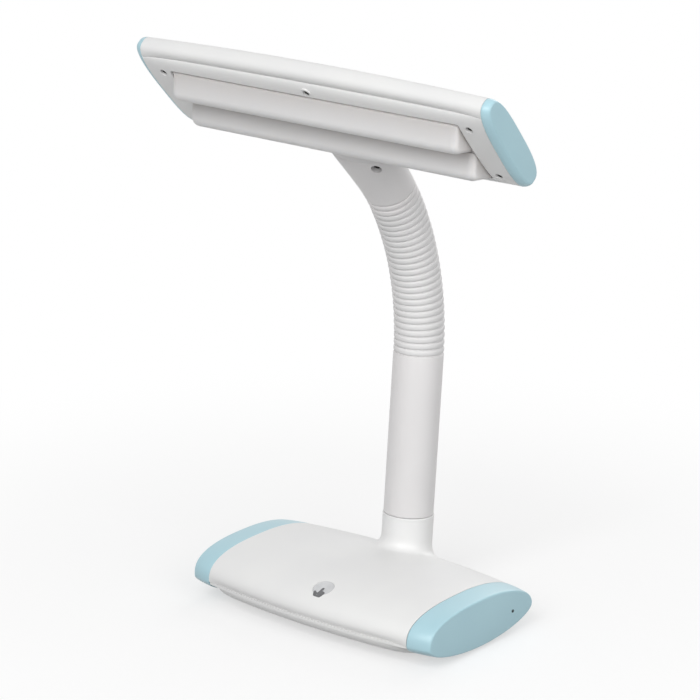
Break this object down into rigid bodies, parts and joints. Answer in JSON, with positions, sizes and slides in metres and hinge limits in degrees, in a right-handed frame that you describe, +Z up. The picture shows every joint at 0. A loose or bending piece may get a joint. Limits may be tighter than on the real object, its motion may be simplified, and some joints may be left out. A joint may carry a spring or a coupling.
{
  "type": "desk lamp",
  "caption": "Desk lamp with a weighted touch-switch base, a plain stem, a ribbed gooseneck and a wide tilted head holding two roof-shaped diffuser bars.",
  "frame": {"origin": "middle of the foam pad's underside, on the table", "axes": "+X to the lamp's right end, -Y to the user's side, +Z up"},
  "size_m": [0.3432, 0.1659, 0.4503],
  "materials": {
    "white_abs": "satin",
    "blue_abs": "satin",
    "diffuser_pc": "frosted",
    "pale_abs": "satin",
    "sleeve_pvc": "matt",
    "steel": "plain",
    "aluminium": "plain",
    "circuit_board": "satin",
    "touch_metal": "satin",
    "copper_foil": "plain",
    "black_plastic": "satin",
    "dark_lens": "gloss",
    "foam_rubber": "matt",
    "lead_pvc": "matt"
  },
  "bodies": {
    "base": {"base_top_shell": "white_abs", "base_bottom_shell": "white_abs", "base_cap_left": "blue_abs", "base_cap_right": "blue_abs", "ballast_plate": "steel", "control_board": "circuit_board", "touch_pad": "touch_metal", "touch_sensor": "copper_foil", "power_inlet": "black_plastic", "indicator_lens": "dark_lens", "base_pad": "foam_rubber", "base_screws": "steel", "stem_tube": "pale_abs", "stem_washer": "steel", "stem_nut": "steel", "lower_ferrule": "steel", "gooseneck_core": "steel", "lamp_lead": "lead_pvc"},
    "rib_01": {"rib_01": "sleeve_pvc"},
    "rib_02": {"rib_02": "sleeve_pvc"},
    "rib_03": {"rib_03": "sleeve_pvc"},
    "rib_04": {"rib_04": "sleeve_pvc"},
    "rib_05": {"rib_05": "sleeve_pvc"},
    "rib_06": {"rib_06": "sleeve_pvc"},
    "rib_07": {"rib_07": "sleeve_pvc"},
    "rib_08": {"rib_08": "sleeve_pvc"},
    "rib_09": {"rib_09": "sleeve_pvc"},
    "rib_10": {"rib_10": "sleeve_pvc"},
    "rib_11": {"rib_11": "sleeve_pvc"},
    "rib_12": {"rib_12": "sleeve_pvc"},
    "rib_13": {"rib_13": "sleeve_pvc"},
    "rib_14": {"rib_14": "sleeve_pvc"},
    "rib_15": {"rib_15": "sleeve_pvc"},
    "rib_16": {"rib_16": "sleeve_pvc"},
    "rib_17": {"rib_17": "sleeve_pvc"},
    "rib_18": {"rib_18": "sleeve_pvc"},
    "rib_19": {"rib_19": "sleeve_pvc"},
    "rib_20": {"rib_20": "sleeve_pvc"},
    "rib_21": {"rib_21": "sleeve_pvc"},
    "rib_22": {"rib_22": "sleeve_pvc"},
    "rib_23": {"rib_23": "sleeve_pvc"},
    "rib_24": {"rib_24": "sleeve_pvc"},
    "head": {"neck_fairing": "pale_abs", "upper_ferrule": "steel", "fairing_screw": "steel", "head_bracket": "steel", "head_top_shell": "white_abs", "head_cover": "white_abs", "head_cap_left": "blue_abs", "head_cap_right": "blue_abs", "diffuser_front": "diffuser_pc", "diffuser_rear": "diffuser_pc", "lamp_board_front": "circuit_board", "lamp_board_rear": "circuit_board", "heat_spreader": "aluminium", "cover_screws": "steel"}
  },
  "joints": [
    {"name": "neck_bend", "type": "hinge", "parent": "base", "child": "rib_01", "pos_m": [0, 0.06976, 0.19814], "axis": [1, 0, 0], "range_deg": [-2.9, 1.15], "deforming": ["gooseneck_core", "lamp_lead"]},
    {"name": "neck_sway", "type": "hinge", "parent": "rib_01", "child": "rib_02", "pos_m": [0, 0.07011, 0.20373], "axis": [0, 0.9988, -0.0493], "range_deg": [-2.15, 2.15], "deforming": ["gooseneck_core", "lamp_lead"]},
    {"name": "bend_03", "type": "hinge", "parent": "rib_02", "child": "rib_03", "pos_m": [0, 0.07031, 0.20933], "axis": [1, 0, 0], "range_deg": [-2.9, 1.15]},
    {"name": "sway_04", "type": "hinge", "parent": "rib_03", "child": "rib_04", "pos_m": [0, 0.07038, 0.21493], "axis": [0, 1, 0.0013], "range_deg": [-2.15, 2.15]},
    {"name": "bend_05", "type": "hinge", "parent": "rib_04", "child": "rib_05", "pos_m": [0, 0.0703, 0.22053], "axis": [1, 0, 0], "range_deg": [-2.9, 1.15]},
    {"name": "sway_06", "type": "hinge", "parent": "rib_05", "child": "rib_06", "pos_m": [0, 0.07008, 0.22612], "axis": [0, 0.9987, 0.0519], "range_deg": [-2.15, 2.15]},
    {"name": "bend_07", "type": "hinge", "parent": "rib_06", "child": "rib_07", "pos_m": [0, 0.06972, 0.23171], "axis": [1, 0, 0], "range_deg": [-2.9, 1.15]},
    {"name": "sway_08", "type": "hinge", "parent": "rib_07", "child": "rib_08", "pos_m": [0, 0.06921, 0.23729], "axis": [0, 0.9947, 0.1024], "range_deg": [-2.15, 2.15]},
    {"name": "bend_09", "type": "hinge", "parent": "rib_08", "child": "rib_09", "pos_m": [0, 0.06857, 0.24285], "axis": [1, 0, 0], "range_deg": [-2.9, 1.15]},
    {"name": "sway_10", "type": "hinge", "parent": "rib_09", "child": "rib_10", "pos_m": [0, 0.06779, 0.2484], "axis": [0, 0.9883, 0.1526], "range_deg": [-2.15, 2.15]},
    {"name": "bend_11", "type": "hinge", "parent": "rib_10", "child": "rib_11", "pos_m": [0, 0.06686, 0.25392], "axis": [1, 0, 0], "range_deg": [-2.9, 1.15]},
    {"name": "sway_12", "type": "hinge", "parent": "rib_11", "child": "rib_12", "pos_m": [0, 0.0658, 0.25942], "axis": [0, 0.9793, 0.2024], "range_deg": [-2.15, 2.15]},
    {"name": "bend_13", "type": "hinge", "parent": "rib_12", "child": "rib_13", "pos_m": [0, 0.0646, 0.26489], "axis": [1, 0, 0], "range_deg": [-2.9, 1.15]},
    {"name": "sway_14", "type": "hinge", "parent": "rib_13", "child": "rib_14", "pos_m": [0, 0.06326, 0.27033], "axis": [0, 0.9678, 0.2516], "range_deg": [-2.15, 2.15]},
    {"name": "bend_15", "type": "hinge", "parent": "rib_14", "child": "rib_15", "pos_m": [0, 0.06178, 0.27573], "axis": [1, 0, 0], "range_deg": [-2.9, 1.15]},
    {"name": "sway_16", "type": "hinge", "parent": "rib_15", "child": "rib_16", "pos_m": [0, 0.06016, 0.28109], "axis": [0, 0.9538, 0.3003], "range_deg": [-2.15, 2.15]},
    {"name": "bend_17", "type": "hinge", "parent": "rib_16", "child": "rib_17", "pos_m": [0, 0.05842, 0.28641], "axis": [1, 0, 0], "range_deg": [-2.9, 1.15]},
    {"name": "sway_18", "type": "hinge", "parent": "rib_17", "child": "rib_18", "pos_m": [0, 0.05653, 0.29168], "axis": [0, 0.9374, 0.3482], "range_deg": [-2.15, 2.15]},
    {"name": "bend_19", "type": "hinge", "parent": "rib_18", "child": "rib_19", "pos_m": [0, 0.05452, 0.29691], "axis": [1, 0, 0], "range_deg": [-2.9, 1.15]},
    {"name": "sway_20", "type": "hinge", "parent": "rib_19", "child": "rib_20", "pos_m": [0, 0.05237, 0.30208], "axis": [0, 0.9186, 0.3951], "range_deg": [-2.15, 2.15]},
    {"name": "bend_21", "type": "hinge", "parent": "rib_20", "child": "rib_21", "pos_m": [0, 0.05009, 0.3072], "axis": [1, 0, 0], "range_deg": [-2.9, 1.15]},
    {"name": "sway_22", "type": "hinge", "parent": "rib_21", "child": "rib_22", "pos_m": [0, 0.04768, 0.31225], "axis": [0, 0.8975, 0.4411], "range_deg": [-2.15, 2.15]},
    {"name": "bend_23", "type": "hinge", "parent": "rib_22", "child": "rib_23", "pos_m": [0, 0.04515, 0.31725], "axis": [1, 0, 0], "range_deg": [-2.9, 1.15]},
    {"name": "sway_24", "type": "hinge", "parent": "rib_23", "child": "rib_24", "pos_m": [0, 0.04249, 0.32218], "axis": [0, 0.874, 0.486], "range_deg": [-2.15, 2.15]},
    {"name": "bend_25", "type": "hinge", "parent": "rib_24", "child": "head", "pos_m": [0, 0.03971, 0.32704], "axis": [1, 0, 0], "range_deg": [-2.9, 1.15]}
  ],
  "couplings": [
    {"joint": "bend_03", "follows": "neck_bend", "ratio": 1},
    {"joint": "sway_04", "follows": "neck_sway", "ratio": 1},
    {"joint": "bend_05", "follows": "neck_bend", "ratio": 1},
    {"joint": "sway_06", "follows": "neck_sway", "ratio": 1},
    {"joint": "bend_07", "follows": "neck_bend", "ratio": 1},
    {"joint": "sway_08", "follows": "neck_sway", "ratio": 1},
    {"joint": "bend_09", "follows": "neck_bend", "ratio": 1},
    {"joint": "sway_10", "follows": "neck_sway", "ratio": 1},
    {"joint": "bend_11", "follows": "neck_bend", "ratio": 1},
    {"joint": "sway_12", "follows": "neck_sway", "ratio": 1},
    {"joint": "bend_13", "follows": "neck_bend", "ratio": 1},
    {"joint": "sway_14", "follows": "neck_sway", "ratio": 1},
    {"joint": "bend_15", "follows": "neck_bend", "ratio": 1},
    {"joint": "sway_16", "follows": "neck_sway", "ratio": 1},
    {"joint": "bend_17", "follows": "neck_bend", "ratio": 1},
    {"joint": "sway_18", "follows": "neck_sway", "ratio": 1},
    {"joint": "bend_19", "follows": "neck_bend", "ratio": 1},
    {"joint": "sway_20", "follows": "neck_sway", "ratio": 1},
    {"joint": "bend_21", "follows": "neck_bend", "ratio": 1},
    {"joint": "sway_22", "follows": "neck_sway", "ratio": 1},
    {"joint": "bend_23", "follows": "neck_bend", "ratio": 1},
    {"joint": "sway_24", "follows": "neck_sway", "ratio": 1},
    {"joint": "bend_25", "follows": "neck_bend", "ratio": 1}
  ]
}
